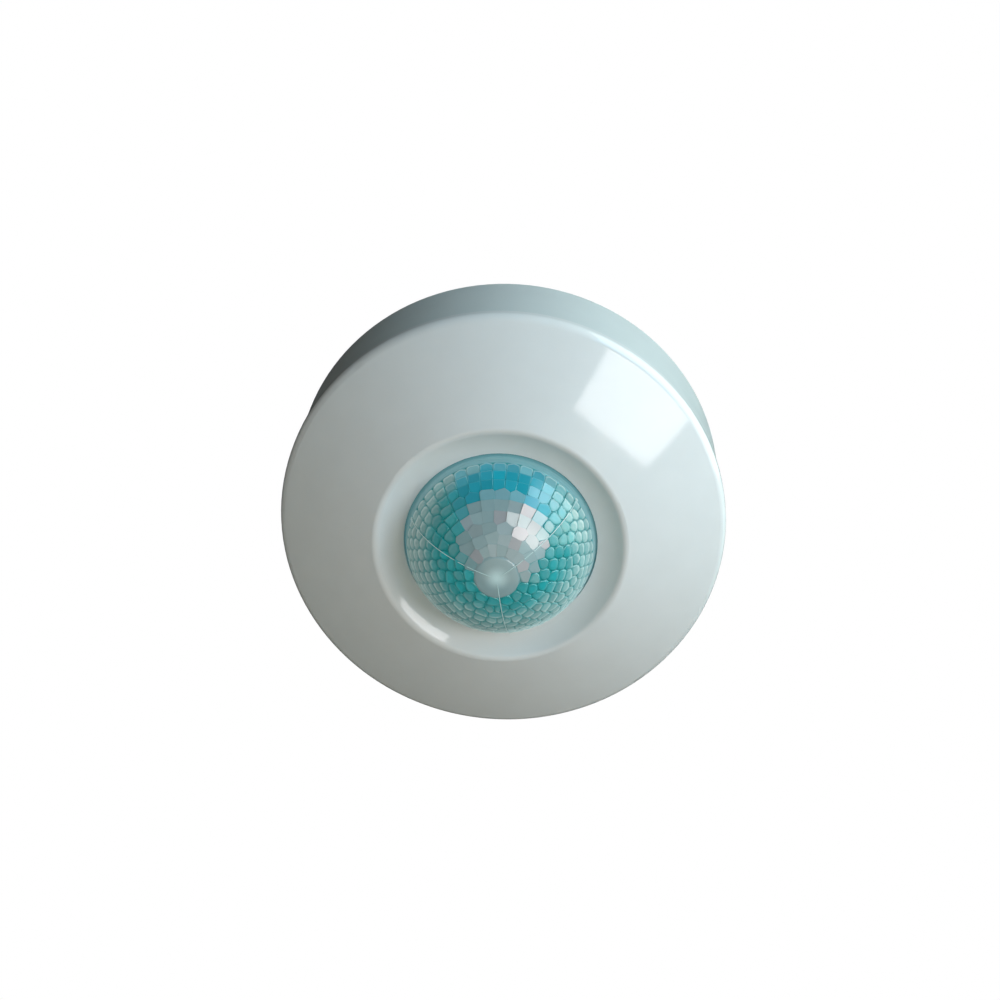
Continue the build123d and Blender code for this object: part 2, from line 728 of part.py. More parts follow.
def nodes():
    """Every piece by name."""
    made = {
        "base_shell": base_shell(),
        "cable_grommet": cable_grommet(),
        "conduit_plug": conduit_plug(),
        "main_board": main_board(),
        "board_screws": board_screws(),
        "terminal_block": terminal_block(),
        "terminal_clamps": terminal_clamps(),
        "terminal_screws": terminal_screws(),
        "relay": relay(),
        "capacitor_cans": capacitor_cans(),
        "capacitor_vents": capacitor_vents(),
        "varistor": varistor(),
        "chip_leads": chip_leads(),
        "chip_resistors": chip_resistors(),
        "dip_switch_body": dip_body(),
        "test_button_body": test_button_body(),
        "test_button_cap": test_button_cap(),
        "tamper_switch_body": tamper_body(),
        "tamper_plunger": tamper_plunger(),
        "sensor_tower": sensor_tower(),
        "sensor_board": sensor_board(),
        "header_pins": header_pins(),
        "header_base": header_base(),
        "pyro_windows": pyro_windows(),
        "sector_baffle": sector_baffle(),
        "status_led": status_led(),
        "light_sensor": light_sensor(),
        "front_cover": front_cover(),
        "lens_dome": lens_dome(),
        "lens_gasket": lens_gasket(),
        "lens_retainer": lens_retainer(),
        "retainer_screws": retainer_screws(),
    }
    for name, x, y, width, length in CHIPS:
        made[f"{name}_chip"] = chip_body(x, y, width, length)
    for name, place in TRIMMER_PLACES.items():
        made[f"{name}_trimmer_body"] = trimmer_body(place)
        made[f"{name}_trimmer_knob"] = trimmer_knob(place)
    for i in range(DIP_COUNT):
        made[f"dip_slider_{i + 1}"] = dip_slider(i)
    for i, angle in enumerate(CAN_ANGLES):
        made[f"pyro_can_{i + 1}"] = pyro_can(angle)
    return made


def main():
    os.makedirs("parts", exist_ok=True)
    for name, shape in nodes().items():
        export_step(shape, f"parts/{name}.step")


main()
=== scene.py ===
# %% [markdown]
# # A ceiling motion sensor
# This sensor hangs from a ceiling with its lens looking down. A glossy white cover snaps onto a round
# box, and a teal dome lens looks out of a dished ring in its middle. The lesson dresses the sensor's
# CAD model: every moulded, plated and rubber part gets the finish that a maker would choose, and the
# lens gets its many small cells. The CAD model fixes all sizes, so it is loaded first and never moved.

import json
import math
import random

import bpy
from mathutils import Matrix, Vector


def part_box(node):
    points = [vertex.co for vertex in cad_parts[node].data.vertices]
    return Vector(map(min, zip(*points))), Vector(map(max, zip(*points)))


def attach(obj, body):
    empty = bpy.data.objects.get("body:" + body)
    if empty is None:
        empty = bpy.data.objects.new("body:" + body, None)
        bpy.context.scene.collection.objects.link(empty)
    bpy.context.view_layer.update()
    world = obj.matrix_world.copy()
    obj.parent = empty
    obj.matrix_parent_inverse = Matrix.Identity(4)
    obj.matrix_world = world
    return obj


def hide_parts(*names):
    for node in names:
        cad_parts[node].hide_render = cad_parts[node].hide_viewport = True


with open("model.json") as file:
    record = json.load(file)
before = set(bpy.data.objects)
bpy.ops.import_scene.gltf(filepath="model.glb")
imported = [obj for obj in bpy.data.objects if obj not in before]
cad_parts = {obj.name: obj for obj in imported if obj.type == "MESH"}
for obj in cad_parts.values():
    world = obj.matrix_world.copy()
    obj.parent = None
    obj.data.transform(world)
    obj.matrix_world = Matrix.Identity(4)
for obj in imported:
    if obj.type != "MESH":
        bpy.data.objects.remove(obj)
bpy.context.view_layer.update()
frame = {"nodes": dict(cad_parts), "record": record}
nodes = frame["nodes"]
MM = 0.001

# %% [markdown]
# ## Heights that the other steps need
# The mounting face is at zero and everything hangs below it. The lens is a ball cut by its neck. Its
# radius is a standard size, and its lowest point, which the CAD model gives, then fixes the ball's
# centre. The rim's centre is what the camera and the lights aim at.

# %% Measure the model
lens_low, lens_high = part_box("lens_dome")
LENS_RADIUS = 23.4 * MM
LENS_CENTRE = Vector((0, 0, lens_low.z + LENS_RADIUS))
rim_centre = Vector((0, 0, -25.3 * MM))
print("lens centre", round(LENS_CENTRE.z / MM, 2), "mm")

# %% [markdown]
# ## Two tools for finishes
# Every finish here is one Principled shader with a few texture nodes in front of it. Writing those
# nodes out each time would hide what differs, so two helpers do it: one starts a finish, the other adds
# a noise that is fixed to the object and measured in millimetres. A real moulding is never perfectly
# even, and this noise is what varies it.

# %% Helpers for finishes
def start_finish(name, roughness, metallic=0.0):
    """A new material: its tree and its Principled shader."""
    finish = bpy.data.materials.new(name)
    finish.use_nodes = True
    tree = finish.node_tree
    shader = tree.nodes["Principled BSDF"]
    shader.inputs["Roughness"].default_value = roughness
    shader.inputs["Metallic"].default_value = metallic
    return finish, tree, shader


def grain(tree, size_mm, detail=3.0, stretch=(1, 1, 1)):
    """Noise fixed to the object, with features about size_mm wide; stretch squeezes it along each axis."""
    place = tree.nodes.new("ShaderNodeTexCoord")
    scale = tree.nodes.new("ShaderNodeMapping")
    scale.inputs["Scale"].default_value = stretch
    noise = tree.nodes.new("ShaderNodeTexNoise")
    noise.inputs["Scale"].default_value = 1.0 / (size_mm * MM)
    noise.inputs["Detail"].default_value = detail
    tree.links.new(place.outputs["Object"], scale.inputs["Vector"])
    tree.links.new(scale.outputs["Vector"], noise.inputs["Vector"])
    return noise.outputs["Fac"]


print("noise scale for grains of 1 mm", 1.0 / MM)

# %% [markdown]
# ## Steering a shader with a noise
# A noise is only a number between 0 and 1 at each point. Three small helpers turn it into a change of
# colour, of roughness or of height, so that each finish below can say in a few lines how uneven it is.

# %% Helpers for colour, roughness and height
def shade_between(tree, shader, amount, dark, light, low=0.3, high=0.7):
    """Base colour that runs from dark to light as amount goes from low to high."""
    ramp = tree.nodes.new("ShaderNodeValToRGB")
    ramp.color_ramp.elements[0].position = low
    ramp.color_ramp.elements[1].position = high
    ramp.color_ramp.elements[0].color = (*dark, 1)
    ramp.color_ramp.elements[1].color = (*light, 1)
    tree.links.new(amount, ramp.inputs["Fac"])
    tree.links.new(ramp.outputs["Color"], shader.inputs["Base Color"])
    return ramp.outputs["Color"]


def vary_roughness(tree, shader, amount, low, high):
    """Roughness that wanders between two values."""
    span = tree.nodes.new("ShaderNodeMapRange")
    span.inputs["To Min"].default_value = low
    span.inputs["To Max"].default_value = high
    tree.links.new(amount, span.inputs["Value"])
    tree.links.new(span.outputs["Result"], shader.inputs["Roughness"])


def emboss(tree, shader, height, depth_mm, strength=1.0):
    """Bumps of about depth_mm from a height between 0 and 1."""
    bump = tree.nodes.new("ShaderNodeBump")
    bump.inputs["Distance"].default_value = depth_mm * MM
    bump.inputs["Strength"].default_value = strength
    tree.links.new(height, bump.inputs["Height"])
    tree.links.new(bump.outputs["Normal"], shader.inputs["Normal"])


def scaled(colour, factor):
    """The same colour, brighter or darker."""
    return tuple(min(1.0, channel * factor) for channel in colour)


print("a third brighter than mid grey", scaled((0.5, 0.5, 0.5), 4 / 3))

# %% [markdown]
# ## Glossy white plastic
# The cover is polished ABS: nearly a mirror, with a faint cloudiness from the mould and a ripple too
# shallow to feel, which bends the edges of reflections. A perfectly smooth shader looks like a drawing,
# so the roughness wanders a little and a broad, very shallow bump ripples the gloss. The base is the
# same plastic from a less polished mould, and its colour is the cover's white painted darker and
# cooler as painted shade.

# %% Finishes for the cover and the base
def white_plastic(name, colour, shine, ripple_mm):
    """White ABS: shine is its lowest and highest roughness."""
    finish, tree, shader = start_finish(name, shine[0])
    cloud = grain(tree, 9.0, 2.0)
    shade_between(tree, shader, cloud, scaled(colour, 0.985), scaled(colour, 1.01))
    vary_roughness(tree, shader, grain(tree, 6.0, 2.0), *shine)
    emboss(tree, shader, grain(tree, 8.0, 1.0), ripple_mm, 0.3)
    shader.inputs["IOR"].default_value = 1.5
    shader.inputs["Subsurface Weight"].default_value = 0.08
    shader.inputs["Subsurface Scale"].default_value = 1.0 * MM
    shader.inputs["Subsurface Radius"].default_value = (1.2, 1.0, 0.9)
    return finish


finishes = {
    "cover_plastic": white_plastic("cover_plastic_glossy", (0.785, 0.80, 0.81), (0.07, 0.12), 0.010),
    # The base's colour is painted shade: the cover's white made darker and cooler.
    "base_plastic": white_plastic("base_plastic_satin_painted_shade", (0.69, 0.74, 0.75), (0.20, 0.26), 0.004),
}
print("white plastics", list(finishes))

# %% [markdown]
# ## Moulded plastics, rubber and glass inside
# The switches, relay, terminals and tower are small mouldings. They differ in colour and shine but
# share a fine spark-eroded texture, so one function makes them all from a short list. Rubber is rougher
# and dustier than plastic, and the sleeve of a capacitor or a dipped part is smoother, which the same
# function covers through its numbers.

# %% Finishes for the small mouldings
MOULDINGS = {
    "rubber_grey": ((0.055, 0.058, 0.062), (0.55, 0.75), 0.5, 0.03),
    "terminal_green": ((0.04, 0.23, 0.10), (0.35, 0.50), 0.5, 0.02),
    "relay_blue": ((0.02, 0.08, 0.30), (0.12, 0.22), 1.2, 0.01),
    "varistor_blue": ((0.02, 0.12, 0.42), (0.15, 0.26), 1.0, 0.03),
    "sleeve_dark": ((0.012, 0.015, 0.035), (0.18, 0.26), 1.5, 0.01),
    "chip_black": ((0.018, 0.018, 0.019), (0.45, 0.60), 0.25, 0.02),
    "switch_black": ((0.022, 0.022, 0.024), (0.35, 0.50), 0.4, 0.02),
    "trimmer_grey": ((0.18, 0.19, 0.21), (0.40, 0.55), 0.4, 0.02),
    "knob_orange": ((0.80, 0.17, 0.02), (0.30, 0.42), 0.6, 0.02),
    "dip_red": ((0.45, 0.02, 0.02), (0.30, 0.45), 0.4, 0.02),
    "slider_white": ((0.75, 0.75, 0.70), (0.30, 0.45), 0.5, 0.01),
    "tower_black": ((0.020, 0.020, 0.022), (0.50, 0.65), 0.5, 0.02),
}


def moulding(name, colour, shine, texture_mm, depth_mm):
    """A small moulding with a fine texture."""
    finish, tree, shader = start_finish(name, shine[0])
    speckle = grain(tree, texture_mm, 5.0)
    shade_between(tree, shader, grain(tree, 6 * texture_mm), scaled(colour, 0.8), scaled(colour, 1.15))
    vary_roughness(tree, shader, speckle, *shine)
    emboss(tree, shader, speckle, depth_mm, 0.4)
    return finish


for slot_name, recipe in MOULDINGS.items():
    finishes[slot_name] = moulding(slot_name + "_moulded", *recipe)
print("mouldings", len(MOULDINGS))

# %% [markdown]
# ## Metals
# Screws and clamps are zinc-plated, the sensor cans are nickel and the capacitor tops are bare
# aluminium. Plating has a crystalline mottle and fine drawing lines, so the noise is stretched along
# one axis and drives both the colour and the roughness. That breaks up reflections the way a plated
# part does.

# %% Finishes for the metals
METALS = {
    "bright_steel": ((0.62, 0.62, 0.60), (0.29, 0.40), (1, 1, 9)),
    "can_metal": ((0.72, 0.70, 0.66), (0.12, 0.24), (1, 1, 0.2)),
    "aluminium_bare": ((0.72, 0.73, 0.75), (0.30, 0.45), (1, 6, 1)),
}


def plated(name, colour, shine, lines):
    """A plated or drawn metal with lines along one axis."""
    finish, tree, shader = start_finish(name, shine[0], metallic=1.0)
    streaks = grain(tree, 0.8, 4.0, lines)
    shade_between(tree, shader, streaks, scaled(colour, 0.85), scaled(colour, 1.1))
    vary_roughness(tree, shader, streaks, *shine)
    emboss(tree, shader, streaks, 0.004, 0.3)
    return finish


for slot_name, recipe in METALS.items():
    finishes[slot_name] = plated(slot_name + "_plated", *recipe)
print("metals", len(METALS))

# %% [markdown]
# ## Circuit boards
# A board is woven glass under green solder mask, with copper tracks that show as slightly lighter,
# raised lines. A brick pattern with wide bricks makes a believable set of tracks, because its mortar
# lines run along two directions and never cross at odd angles. The mask over them is glossy.

# %% Finish for the boards
def solder_mask():
    """Green mask over tracks, as a brick pattern about 1.5 mm apart."""
    finish, tree, shader = start_finish("board_solder_mask", 0.25)
    place = tree.nodes.new("ShaderNodeTexCoord")
    tracks = tree.nodes.new("ShaderNodeTexBrick")
    tracks.inputs["Scale"].default_value = 160.0
    tracks.inputs["Mortar Size"].default_value = 0.04
    tracks.inputs["Color1"].default_value = (0.010, 0.085, 0.035, 1)
    tracks.inputs["Color2"].default_value = (0.012, 0.105, 0.040, 1)
    tracks.inputs["Mortar"].default_value = (0.030, 0.190, 0.070, 1)
    tree.links.new(place.outputs["Object"], tracks.inputs["Vector"])
    tree.links.new(tracks.outputs["Color"], shader.inputs["Base Color"])
    emboss(tree, shader, tracks.outputs["Fac"], 0.03, 0.6)
    vary_roughness(tree, shader, grain(tree, 0.6), 0.28, 0.38)
    return finish


finishes["board_green"] = solder_mask()
print("boards", finishes["board_green"].name)

# %% [markdown]
# ## Dark filters and clear caps
# The infrared windows look almost black with a purple gloss, the lamp is tinted red and the daylight
# eye is clear. All three are glass-like, so they mix some transmission into a smooth shader. A trace of
# noise in the colour keeps them from looking painted.

# %% Finishes for the windows and the lamp
GLASSES = {
    "filter_dark": ((0.030, 0.012, 0.020), 0.0, 0.05),
    "led_red": ((0.65, 0.02, 0.02), 0.5, 0.12),
    "eye_clear": ((0.55, 0.56, 0.50), 0.6, 0.08),
}


def tinted_glass(name, colour, clearness, roughness):
    """A glassy part: clearness is how much light goes through."""
    finish, tree, shader = start_finish(name, roughness)
    shade_between(tree, shader, grain(tree, 1.0), scaled(colour, 0.85), scaled(colour, 1.1))
    vary_roughness(tree, shader, grain(tree, 0.5), roughness, roughness + 0.06)
    shader.inputs["Transmission Weight"].default_value = clearness
    return finish


for slot_name, recipe in GLASSES.items():
    finishes[slot_name] = tinted_glass(slot_name + "_glassy", *recipe)
print("glasses", list(GLASSES))

# %% [markdown]
# ## Teal lens plastic
# The lens is milky polyethylene with a strong teal tint: it lets infrared through and hides what is
# behind it. Seen square on it looks grey-blue and soft. The mesh stores that look as painted colour on
# each cell, with a deep teal painted between the cells as painted shade in the grooves, and the finish
# reads it. The outer skin of the lens is smooth over the cells, so the coat on top takes the ball's own
# shape and its gloss lies over them like a veil.

# %% A smooth coat over the cells
def smooth_skin(tree, shader):
    """Gives the coat the smooth shape of the ball: its normal points away from the ball's centre."""
    place = tree.nodes.new("ShaderNodeTexCoord")
    away = tree.nodes.new("ShaderNodeVectorMath")
    away.operation = "SUBTRACT"
    away.inputs[1].default_value = LENS_CENTRE
    turn = tree.nodes.new("ShaderNodeVectorTransform")
    turn.vector_type = "NORMAL"
    turn.convert_from = "OBJECT"
    turn.convert_to = "WORLD"
    tree.links.new(place.outputs["Object"], away.inputs[0])
    tree.links.new(away.outputs["Vector"], turn.inputs["Vector"])
    tree.links.new(turn.outputs["Vector"], shader.inputs["Coat Normal"])


print("the coat points away from", [round(c / MM, 1) for c in LENS_CENTRE], "mm")

# %% [markdown]
# ## The lens finish itself
# Light that enters on the bright side travels inside the milky plastic and comes out tinted everywhere.
# True scattering through so many small solids would be slow and noisy, so a faint painted glow in the
# same tint stands for it and lifts the lens's shaded side. A little sheen lifts the parts that are seen at
# a low angle, as dust and fine scratches do.

# %% Finish for the lens
TINT_LAYER = "cell_tint"
PAINTED_GLOW = 0.34


def lens_finish():
    """Milky tinted plastic that reads its colour from the cells."""
    finish, tree, shader = start_finish("lens_teal_milky", 0.30)
    tint = tree.nodes.new("ShaderNodeVertexColor")
    tint.layer_name = TINT_LAYER
    cloud = tree.nodes.new("ShaderNodeMixRGB")
    cloud.blend_type = "MULTIPLY"
    cloud.inputs["Fac"].default_value = 0.25
    haze = tree.nodes.new("ShaderNodeValToRGB")
    haze.color_ramp.elements[0].color = (0.6, 0.7, 0.7, 1)
    tree.links.new(grain(tree, 1.6, 3.0), haze.inputs["Fac"])
    tree.links.new(tint.outputs["Color"], cloud.inputs["Color1"])
    tree.links.new(haze.outputs["Color"], cloud.inputs["Color2"])
    tree.links.new(cloud.outputs["Color"], shader.inputs["Base Color"])
    vary_roughness(tree, shader, grain(tree, 0.9), 0.12, 0.20)
    emboss(tree, shader, grain(tree, 0.9, 1.0), 0.006, 0.3)
    shader.inputs["IOR"].default_value = 1.7
    shader.inputs["Specular Tint"].default_value = (1.0, 0.90, 0.84, 1)
    # Painted glow: the cells' tint is given off as light, though the lens is no lamp.
    tree.links.new(cloud.outputs["Color"], shader.inputs["Emission Color"])
    shader.inputs["Emission Strength"].default_value = PAINTED_GLOW
    shader.inputs["Coat Weight"].default_value = 0.6
    shader.inputs["Coat Roughness"].default_value = 0.22
    shader.inputs["Sheen Weight"].default_value = 0.6
    shader.inputs["Sheen Roughness"].default_value = 0.45
    shader.inputs["Sheen Tint"].default_value = (0.70, 0.95, 0.95, 1)
    smooth_skin(tree, shader)
    return finish


finishes["lens_plastic"] = lens_finish()
print("lens finish", finishes["lens_plastic"].name, "of", len(finishes))

# %% [markdown]
# ## Put the finishes on the CAD parts
# The record says which material slot each part uses, so one loop dresses all of them. A part keeps its
# mesh and its place, and only the material in its slots changes.

# %% Dress the CAD parts
for entry in frame["record"]["subparts"]:
    part = nodes[entry["node"]]
    part.data.materials.clear()
    part.data.materials.append(finishes[entry["material_slot"]])

# %% [markdown]
# ## Directions on the ball
# Every place on the lens is a direction from the ball's centre: how far it is tilted from straight
# down, and towards which compass angle. These helpers turn angles into directions and back, and one
# gives a soft step, which is how a colour or a shape changes gradually from one zone of the lens to the
# next.

# %% Helpers for directions
def direction(tilt, turn):
    """Unit vector tilted from straight down by tilt, towards the compass angle turn, both in degrees."""
    t, a = math.radians(tilt), math.radians(turn)
    return Vector((math.sin(t) * math.cos(a), math.sin(t) * math.sin(a), -math.cos(t)))


def tilt_of(way):
    """Angle in degrees between a direction and straight down."""
    return math.degrees(math.acos(max(-1.0, min(1.0, -way.normalized().z))))


def eased(low, high, value):
    """0 below low, 1 above high, and smooth between."""
    share = min(1.0, max(0.0, (value - low) / (high - low)))
    return share * share * (3 - 2 * share)


print("straight down", tuple(direction(0.0, 0.0)))

# %% [markdown]
# ## Where the lens cells lie
# A lens like this is three sectors of small lenses, each aimed at its own sensor. The sectors meet
# along seams that run from the rim to the tip. Inside a sector the cells stand in rows, each row a
# little shorter than the one below. The front sector has fewer, taller rows whose columns line up; in
# the other two every second row is moved by half a cell, as bricks are. A cell is known by the
# direction of its middle from the ball's centre, so rows are just angles.

# %% Lay out the cells
SEAM_ANGLES = (77.5, 193.0, 318.5)
ALIGNED_SECTOR = 1
ROW_COUNTS = (10, 9, 10)
CAP_EDGE = 13.6
BAND_EDGE = 72.6
CELL_WIDTH = 3.05 * MM
LOOSE_TILTS = (30.0, 45.0)
SIDE_SHIFT = 0.45 * MM
ROW_SHIFT = 0.9
random.seed(7)


def row_tilt(sector, row):
    """Tilt of the middle of a row."""
    return CAP_EDGE + (BAND_EDGE - CAP_EDGE) * (row + 0.5) / ROW_COUNTS[sector]


def row_shares(count, staggered):
    """Places along a row, from 0 to 1: whole cells, or half cells at both ends."""
    if not staggered:
        return [(i + 0.5) / count for i in range(count)]
    return [0.25 / count, *[i / count for i in range(1, count)], 1 - 0.25 / count]


def cell_count(sector, row, span):
    """How many whole cells fit in a row; in the aligned sector three rows share one count."""
    if sector == ALIGNED_SECTOR:
        row = row // 3 * 3 + 1
    around = math.sin(math.radians(row_tilt(sector, row))) * LENS_RADIUS
    return max(3, round(math.radians(span) * around / CELL_WIDTH))


def lay_out_cells():
    """Each cell as (direction, sector)."""
    cells = []
    for sector, seam in enumerate(SEAM_ANGLES):
        span = (SEAM_ANGLES[(sector + 1) % 3] - seam) % 360.0
        for row in range(ROW_COUNTS[sector]):
            tilt = row_tilt(sector, row)
            around = math.sin(math.radians(tilt)) * LENS_RADIUS
            staggered = row % 2 == 1 and sector != ALIGNED_SECTOR
            loose = 1.0 - eased(*LOOSE_TILTS, tilt)
            for share in row_shares(cell_count(sector, row, span), staggered):
                aside = math.degrees(random.uniform(-SIDE_SHIFT, SIDE_SHIFT) * loose / around)
                along = random.uniform(-ROW_SHIFT, ROW_SHIFT) * loose if row else 0.0
                cells.append((direction(tilt + along, seam + span * share + aside), sector))
    return cells


cells = lay_out_cells()
print("lens cells", len(cells))

# %% [markdown]
# ## The outline of each cell
# Each cell reaches half way to its neighbours. That is the pattern of soap bubbles or of a tortoise's
# shell, and the outer skin of a cloud of points gives it: every triangle of the skin is one corner
# where three cells meet. So the middles go through a convex hull, and the corners round each middle are
# sorted by angle.

# %% Find the cells' corners
import bmesh

CAP_POINTS = (10.6, 9)
BAND_POINTS = (75.7, 64)


def skin_triangles(points):
    """Convex hull of points on a ball, as triples of their numbers."""
    skin = bmesh.new()
    for point in points:
        skin.verts.new(point)
    skin.verts.index_update()
    bmesh.ops.convex_hull(skin, input=skin.verts)
    skin.verts.index_update()
    found = [tuple(v.index for v in face.verts) for face in skin.faces]
    skin.free()
    return found


def cell_corners(points, wanted):
    """For each of the first wanted points, its corners in order, as unit vectors."""
    corners = [[] for _ in points]
    for triangle in skin_triangles(points):
        a, b, c = (points[i] for i in triangle)
        corner = (b - a).cross(c - a).normalized()
        if corner.dot(a) < 0:
            corner = -corner
        for i in triangle:
            corners[i].append(corner)
    rings = []
    for middle, ring in zip(points[:wanted], corners):
        side = middle.orthogonal().normalized()
        other = middle.cross(side)
        rings.append(sorted(ring, key=lambda p: math.atan2(p.dot(other), p.dot(side))))
    return rings


def fence(tilt, count):
    """Even ring of points that bounds the cells."""
    return [direction(tilt, 360.0 * i / count) for i in range(count)]


all_points = [cell[0] for cell in cells] + fence(*CAP_POINTS) + fence(*BAND_POINTS) + [Vector((0, 0, 1))]
rings = cell_corners(all_points, len(cells))
print("corners in the first cells", [len(ring) for ring in rings[:6]])

# %% [markdown]
# ## The tint of each cell
# The same plastic looks different over the dome from the camera, and that look is painted in rings
# round a patch that faces the camera. The cells of the patch are shallow and painted grey-blue. The
# ones round it are deep and strongly teal, bluer in the front sector. The outer ones are painted pale,
# a painted reflection where the camera sees them edge-on. Each cell also gets its own small change, as
# no two mould pits are polished alike, and a few of the patch's cells look faintly pink.

# %% Tints over the dome
# The rings are centred on the direction to the camera: the grey-blue patch and the pale outer cells are
# painted light.
CAMERA_FACING_WAY = direction(23.0, 270.0)
FACING_PATCH_RING = (22.0, 31.0)
PAINTED_PALE_RING = (43.0, 56.0)
FRONT_STARTS = (222.0, 242.0)
FRONT_ENDS = (312.0, 292.0)
PAINTED_FACING_GREY = (0.205, 0.300, 0.320)
FAINT_PINK = (0.340, 0.290, 0.315)
DEEP_BLUE = (0.000, 0.265, 0.365)
PEBBLE_TEAL = (0.000, 0.285, 0.310)
PEBBLE_GREY = (0.080, 0.290, 0.305)
PAINTED_LIMB_PALE = (0.200, 0.370, 0.375)
PAINTED_EDGE_HIGHLIGHT = (0.440, 0.590, 0.580)
PAINTED_GROOVE_SHADE = (0.000, 0.230, 0.240)


def mixed(a, b, share):
    """Colour between a and b."""
    return tuple(x + (y - x) * share for x, y in zip(a, b))


def from_front(way):
    """Angle in degrees between a direction and the middle of the patch that faces the camera."""
    return math.degrees(way.angle(CAMERA_FACING_WAY))


def facing_patch_share(way):
    """1 in the patch that faces the camera, 0 away from it."""
    return 1.0 - eased(*FACING_PATCH_RING, from_front(way))


def frontness(middle, sector):
    """1 in the middle of the aligned sector, 0 near its seams and in the other sectors."""
    if sector != ALIGNED_SECTOR:
        return 0.0
    turn = math.degrees(math.atan2(middle.y, middle.x)) % 360.0
    return eased(*FRONT_STARTS, turn) * eased(*FRONT_ENDS, turn)


def cell_tint(middle, sector):
    """Colour of one cell, with its own small change."""
    near = from_front(middle) + random.uniform(-3.0, 3.0)
    grey = mixed(PAINTED_FACING_GREY, FAINT_PINK, random.choice((0.0, 0.0, 0.0, 0.15, 0.55)))
    teal = mixed(PEBBLE_TEAL, PEBBLE_GREY, random.random())
    teal = mixed(teal, DEEP_BLUE, 0.8 * frontness(middle, sector))
    # Painted: pale towards the outer cells as a painted reflection, grey-blue in the patch facing the
    # camera.
    colour = mixed(teal, PAINTED_LIMB_PALE, eased(*PAINTED_PALE_RING, near))
    colour = mixed(grey, colour, eased(*FACING_PATCH_RING, near))
    return scaled(colour, random.uniform(0.88, 1.12))


print("haze at the tip", round(facing_patch_share(direction(0.0, 0.0)), 2))

# %% [markdown]
# ## Which way a cell faces
# The top of a cell is a flat facet, which flashes white all at once when a window is reflected in it.
# Each top leans towards the tip, which gives the low steps that such lenses have, like roof tiles, and
# no two lean quite alike. A few neighbours in the front face nearly the same way, so they flash
# together.

# %% Lean the cells
WOBBLE = 3.2
FLASH_SHARE = 0.65
FLASH_PLACE = direction(37.0, 298.0)
FLASH_FACING = direction(31.0, 307.0)
FLASH_REACH = (9.0, 15.0)


def lean_of(middle, lean):
    """The direction that a cell's flat top faces."""
    lean = math.radians(lean + random.uniform(-WOBBLE, WOBBLE))
    roll = math.radians(random.uniform(-WOBBLE, WOBBLE))
    across = middle.cross(Vector((0, 0, -1))).normalized()
    usual = Matrix.Rotation(roll, 3, middle.cross(across)) @ Matrix.Rotation(lean, 3, across) @ middle
    shared = FLASH_SHARE * (1.0 - eased(*FLASH_REACH, math.degrees(middle.angle(FLASH_PLACE))))
    return usual.lerp(FLASH_FACING, shared).normalized()


print("the flash faces", [round(c, 2) for c in FLASH_FACING])

# %% [markdown]
# ## The outline of a facet
# In the hazy patch the facets are sharp and touch each other, and elsewhere their corners are cut off.
# Cutting each corner once turns a six-sided cell into a soft pebble. Moving the corners towards the
# middle gives the smaller outlines of the chamfer and of the flat top.

# %% Helpers for a cell's outline
def cut_corners(ring, share):
    """The ring with each corner replaced by two, a share of the way along its sides."""
    cut = []
    for i, corner in enumerate(ring):
        cut.append(corner.lerp(ring[i - 1], share).normalized())
        cut.append(corner.lerp(ring[(i + 1) % len(ring)], share).normalized())
    return cut


def shrink(ring, middle, distance):
    """Corners moved towards the middle by a distance on the ball."""
    moved = []
    for corner in ring:
        away = corner - middle
        moved.append((middle + away * max(0.3, 1 - distance / (away.length * LENS_RADIUS))).normalized())
    return moved


print("corners of the first cell", len(cut_corners(rings[0], 0.1)))

# %% [markdown]
# ## Tint along the edges
# The rim side of a steep cell would catch the light, so a pale painted highlight line is laid there,
# while the valley on its tip side gets painted shade in deep teal. The mesh can hold a colour at each
# corner of each face, so the line is a gradient between corners and needs no picture.

# %% Tint the edges
STEEP_RING = (37.0, 56.0)
HALF_CELL = 3.0


def steepness(middle):
    """1 where the cells are seen edge-on near the rim and take the painted highlight, and 0 nearer the
    front.
    """
    return eased(*STEEP_RING, from_front(middle))


def edge_tint(corner, middle, tint, softness):
    """Tint at a corner of the flat top: painted highlight on the rim side, painted shade on the tip side.
    """
    rimward = (tilt_of(corner) - tilt_of(middle)) / HALF_CELL
    steep = steepness(middle)
    shade = softness * (0.95 - 0.30 * steep) * eased(0.7 - 0.8 * steep, -0.7, rimward)
    deep = mixed(tint, PAINTED_GROOVE_SHADE, shade)
    return mixed(deep, PAINTED_EDGE_HIGHLIGHT, max(0.08 * softness, 0.95 * steep) * eased(0.1, 0.8, rimward))


def paint(face, layer, tints):
    """Stores a tint at each corner of a face."""
    for loop, tint in zip(face.loops, tints):
        loop[layer] = (*tint, 1)


print("steep at the rim", steepness(direction(70.0, 90.0)))

# %% [markdown]
# ## Raise the cells
# A cell is a closed block: a bottom, a short wall that stands in a groove, a chamfer and a flat top.
# Its sizes run from the sharp kind to the soft kind, so each size below is a pair, and one number, the
# softness, picks the place between them.

# %% Build one cell
CELL_HEIGHT = 0.34 * MM
CELL_ROOT = 0.1 * MM
GROOVES = (0.0, 0.03 * MM)
CHAMFERS = (0.03 * MM, 0.36 * MM)
FADES = (0.2 * MM, 0.75 * MM)
BEVEL_SLOPE = 0.36
CORNER_CUTS = (0.03, 0.24)
LEANS = (5.0, 7.0)


